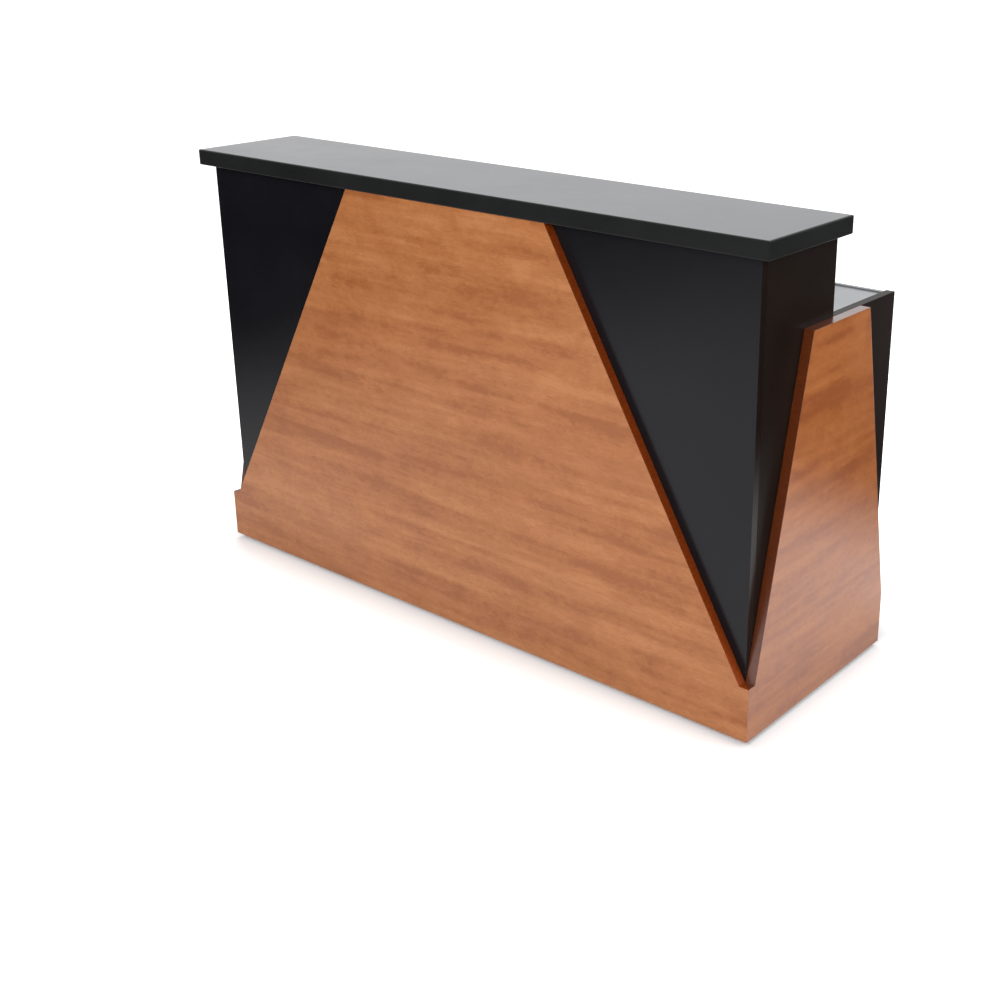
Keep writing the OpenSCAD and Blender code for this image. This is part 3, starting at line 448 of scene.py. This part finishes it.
def smooth_route(points, step):
    """Points a step apart along a smooth curve through the route, and the curve's length."""
    ends = [2 * points[0] - points[1], *points, 2 * points[-1] - points[-2]]
    dense = []
    for p, q, r, s in zip(ends, ends[1:], ends[2:], ends[3:]):
        square = 2 * p - 5 * q + 4 * r - s
        cube = 3 * q - p - 3 * r + s
        for k in range(STEPS_PER_SPAN):
            t = k / STEPS_PER_SPAN
            dense.append((2 * q + (r - p) * t + square * t * t + cube * t ** 3) / 2)
    dense.append(points[-1])
    lengths = [0.0]
    for a, b in zip(dense, dense[1:]):
        lengths.append(lengths[-1] + (b - a).length)
    count = round(lengths[-1] / step)
    path = []
    j = 0
    for i in range(count + 1):
        want = lengths[-1] * i / count
        while j < len(lengths) - 2 and lengths[j + 1] < want:
            j += 1
        share = (want - lengths[j]) / (lengths[j + 1] - lengths[j])
        path.append(dense[j].lerp(dense[j + 1], share))
    return path, lengths[-1]


def ribbed_hose(name, points):
    """A closed tube with round ribs, its middle line, and that line's length."""
    path, length = smooth_route(points, HOSE_PITCH / RINGS_PER_RIB)
    sides = HOSE_SIDES
    verts = []
    faces = []
    for i, point in enumerate(path):
        ahead = (path[min(i + 1, len(path) - 1)] - path[max(i - 1, 0)]).normalized()
        across = ahead.cross(Vector((0, 1, 0))).normalized()
        up = ahead.cross(across)
        crest = 0.5 + 0.5 * math.cos(2 * math.pi * i / RINGS_PER_RIB)
        radius = HOSE_DIAMETER / 2 - HOSE_GROOVE * (1 - crest) ** GROOVE_POWER
        for k in range(sides):
            angle = 2 * math.pi * k / sides
            verts.append(point + radius * (across * math.cos(angle) + up * math.sin(angle)))
    for i in range(len(path) - 1):
        for k in range(sides):
            n = (k + 1) % sides
            faces.append((i * sides + k, i * sides + n, (i + 1) * sides + n, (i + 1) * sides + k))
    faces.append(tuple(reversed(range(sides))))
    faces.append(tuple(range((len(path) - 1) * sides, len(path) * sides)))
    return add_mesh(name, verts, faces, HOSE_PLASTIC), path, length


hose, hose_path, hose_length = ribbed_hose("drain_hose_ribbed", HOSE_ROUTE)
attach(hose, ROOT)
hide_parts("drain_hose")

# Screws of the rack runners and of the brackets under the bar top, in millimetres.
# A head's profile goes from the floor of its drive recess over the crown to its rim: radius, height.
SCREW_HEAD = ((0.0, 1.1), (1.1, 1.1), (1.3, 2.1), (2.1, 2.05), (3.1, 1.5), (3.6, 0.7), (3.7, -0.3))
SCREW_SIDES = 16
RUNNER_THICKNESS = 2
RUNNER_PITCH = 236
RUNNER_LEVELS = 3
RUNNER_SCREW_RISE = 11
RUNNER_SCREW_FROM_END = 52
BRACKET_THICKNESS = 3
BRACKET_WIDTH = 40
BRACKET_SCREW_FROM_CORNER = 20
BRACKET_SCREW_OFF_MIDDLE = 11


def box_mm(node):
    """Lowest and highest corner of a CAD node in millimetres, rounded to a hundredth."""
    return [[round(1000 * value, 2) for value in corner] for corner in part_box(node)]


def add_head(verts, faces, place, axis):
    """Adds a screw head that stands on a surface, its axis along the surface's normal."""
    turn = Vector((0, 0, 1)).rotation_difference(Vector(axis)).to_matrix()
    first = len(verts)
    for radius, height in SCREW_HEAD:
        for k in range(SCREW_SIDES):
            angle = 2 * math.pi * k / SCREW_SIDES
            spot = Vector((radius * math.cos(angle), radius * math.sin(angle), height)) / 1000
            verts.append(Vector(place) / 1000 + turn @ spot)
    for i in range(len(SCREW_HEAD) - 1):
        ring = first + i * SCREW_SIDES
        above = ring + SCREW_SIDES
        for k in range(SCREW_SIDES):
            n = (k + 1) % SCREW_SIDES
            faces.append((ring + k, above + k, above + n, ring + n))


runner_low, runner_high = box_mm("right_bay_runners")
inner_x = runner_low[0] + RUNNER_THICKNESS
outer_x = runner_high[0] - RUNNER_THICKNESS
runner_ys = (
    runner_low[1] + RUNNER_SCREW_FROM_END,
    (runner_low[1] + runner_high[1]) / 2,
    runner_high[1] - RUNNER_SCREW_FROM_END,
)
bracket_low, bracket_high = box_mm("top_brackets")
bracket_ys = (bracket_low[1] + BRACKET_WIDTH / 2, bracket_high[1] - BRACKET_WIDTH / 2)
leg_x = bracket_high[0] - BRACKET_THICKNESS
leg_z = bracket_high[2] - BRACKET_SCREW_FROM_CORNER
under_x = bracket_high[0] - BRACKET_SCREW_FROM_CORNER
under_z = bracket_high[2] - BRACKET_THICKNESS

screw_places = []
for side in (-1, 1):
    for level in range(RUNNER_LEVELS):
        z = runner_low[2] + RUNNER_SCREW_RISE + level * RUNNER_PITCH
        for y in runner_ys:
            screw_places.append(((side * inner_x, y, z), (side, 0, 0)))
            screw_places.append(((side * outer_x, y, z), (-side, 0, 0)))
    for middle in bracket_ys:
        for y in (middle - BRACKET_SCREW_OFF_MIDDLE, middle + BRACKET_SCREW_OFF_MIDDLE):
            screw_places.append(((side * leg_x, y, leg_z), (-side, 0, 0)))
            screw_places.append(((side * under_x, y, under_z), (0, 0, -1)))
screw_verts = []
screw_faces = []
for place, axis in screw_places:
    add_head(screw_verts, screw_faces, place, axis)
screws = add_mesh("runner_and_bracket_screws", screw_verts, screw_faces, ZINC)
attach(screws, ROOT)

# Floor: white round the object, with a soft shadow under it that is partly painted. Mirrored in the lacquer,
# it shows a painted reflection: a glow that is bright beside the object and dark further off.
FLOOR_HALF = 60
FLOOR_GREY = (0.86, 0.86, 0.86)
OUTLINE_HALF_X = 0.90
OUTLINE_HALF_Y = 0.33
# Painted shadow: reach of the fade from no glow inside the outline to full glow outside it, in metres
PAINTED_SHADOW_FADE = (-0.05, 0.27)
# Painted reflection: fades and dark patches of the glow the floor shows only in mirrors
MIRROR_FADE = (2.5, 6.0)
NEAR_FADE = (0.0, 0.25)
NEAR_STRENGTH = 0.55
DARK_RIGHT_Y = (0.7, 1.2)
DARK_RIGHT_X = (0.10, 0.50)
DARK_RIGHT_SLANT = 0.54
DARK_LEFT_Y = (-0.2, -0.8)
DARK_LEFT_X = (-1.2, -2.7)

floor = Shader("floor_white", Specular_IOR_Level=0.0, Roughness=1.0)
rays = floor.add("ShaderNodeLightPath").outputs
spot = floor.split(floor.coords["Object"])

# Distance outside the object's outline on the floor, and depth inside it as a value below zero
past_x = floor.math("SUBTRACT", floor.math("ABSOLUTE", spot["X"]), OUTLINE_HALF_X)
past_y = floor.math("SUBTRACT", floor.math("ABSOLUTE", spot["Y"]), OUTLINE_HALF_Y)
away = floor.length(floor.math("MAXIMUM", past_x, 0.0), floor.math("MAXIMUM", past_y, 0.0))
under = floor.math("MINIMUM", floor.math("MAXIMUM", past_x, past_y), 0.0)

# Seen straight, the floor glows white away from the object, and its glow fades out near and under it: a
# painted shadow, added to the shadow the lamps cast
seen = floor.range(floor.math("ADD", away, under), *PAINTED_SHADOW_FADE)
seen = floor.math("MULTIPLY", rays["Is Camera Ray"], seen)

# Mirrored, the floor is a painted reflection whose glow is dark far off, behind the right end and in front
# of the left end, and dimmer near the object
past_end = floor.math("SUBTRACT", spot["X"], floor.math("MULTIPLY", spot["Y"], DARK_RIGHT_SLANT))
behind = floor.range(spot["Y"], *DARK_RIGHT_Y)
far_right = floor.math("MULTIPLY", behind, floor.range(past_end, *DARK_RIGHT_X))
in_front = floor.range(spot["Y"], *DARK_LEFT_Y)
far_left = floor.math("MULTIPLY", in_front, floor.range(spot["X"], *DARK_LEFT_X))
bright = floor.range(floor.length(spot["X"], spot["Y"]), *MIRROR_FADE, to_low=1.0, to_high=0.0)
bright = floor.math("MULTIPLY", floor.math("SUBTRACT", 1.0, far_right), bright)
bright = floor.math("MULTIPLY", bright, floor.math("SUBTRACT", 1.0, far_left))
bright = floor.math("MULTIPLY", bright, floor.range(away, *NEAR_FADE, to_low=NEAR_STRENGTH))
mirrored = floor.math("MULTIPLY", rays["Is Glossy Ray"], bright)

# In mirrors the floor's own colour is black, so that only its painted reflection shows
floor.colour(floor.mix(rays["Is Glossy Ray"], FLOOR_GREY, (0.0, 0.0, 0.0)))
glow = floor.add("ShaderNodeEmission")
floor.put(WHITE, glow.inputs["Color"])
floor.put(floor.math("ADD", seen, mirrored), glow.inputs["Strength"])
both = floor.add("ShaderNodeAddShader")
floor.put(floor.bsdf.outputs[0], both.inputs[0])
floor.put(glow.outputs[0], both.inputs[1])
floor.put(both.outputs[0], floor.tree.nodes["Material Output"].inputs["Surface"])
floor_corners = [(x * FLOOR_HALF, y * FLOOR_HALF, 0) for x, y in ((-1, -1), (1, -1), (1, 1), (-1, 1))]
floor_piece = add_mesh("floor", floor_corners, [(0, 1, 2, 3)], floor.material, smooth=False)

# World: white where it is seen, and mirrored white but for the part overhead; it lights less than it shows
WORLD_LIGHT = 0.42
OVERHEAD_FADE = (0.60, 0.95)

world = bpy.data.worlds.new("studio")
SCENE.world = world
world.use_nodes = True
sky = Nodes(world.node_tree)
sky_rays = sky.add("ShaderNodeLightPath").outputs
heading = sky.split(sky.coords["Generated"])
low_sky = sky.range(heading["Z"], *OVERHEAD_FADE, to_low=1.0, to_high=0.0)
mirrored_sky = sky.math("MULTIPLY", sky_rays["Is Glossy Ray"], low_sky)
shown = sky.math("MAXIMUM", sky_rays["Is Camera Ray"], mirrored_sky)
shown = sky.math("MAXIMUM", shown, sky_rays["Is Transmission Ray"])
background = world.node_tree.nodes["Background"]
sky.put(WHITE, background.inputs["Color"])
sky.put(sky.range(shown, low=0.0, high=1.0, to_low=WORLD_LIGHT), background.inputs["Strength"])

# Lamps: name, place, what it points at, size, watts, and whether gloss mirrors it
LAMPS = (
    ("key", (1.9, -3.6, 2.9), (0.1, -0.3, 0.6), (2.4, 1.8), 92, False),
    ("fill", (-3.2, -2.6, 2.2), (-0.3, -0.2, 0.5), (2.0, 2.0), 22, False),
    ("right", (3.0, 0.4, 1.9), (0.9, 0.1, 0.3), (1.6, 1.6), 26, False),
    ("overhead", (0.0, 0.9, 3.4), (0.0, 0.2, 0.8), (5.0, 3.0), 44, True),
    ("rear", (-3.0, 1.6, 3.0), (-0.2, 0.2, 0.7), (2.0, 1.6), 50, False),
    ("low_rear", (0.3, 2.5, 0.56), (-0.1, 0.3, 0.8), (1.6, 0.9), 7, True),
)
for name, place, target, size, watts, in_mirrors in LAMPS:
    lamp_data = bpy.data.lights.new(name, "AREA")
    lamp_data.shape = "RECTANGLE"
    lamp_data.size, lamp_data.size_y = size
    lamp_data.energy = watts
    lamp = bpy.data.objects.new(name, lamp_data)
    lamp.location = place
    lamp.rotation_euler = (Vector(target) - Vector(place)).to_track_quat("-Z", "Y").to_euler()
    lamp.visible_camera = False
    lamp.visible_glossy = in_mirrors
    SCENE.collection.objects.link(lamp)

SCENE.view_settings.view_transform = "Standard"
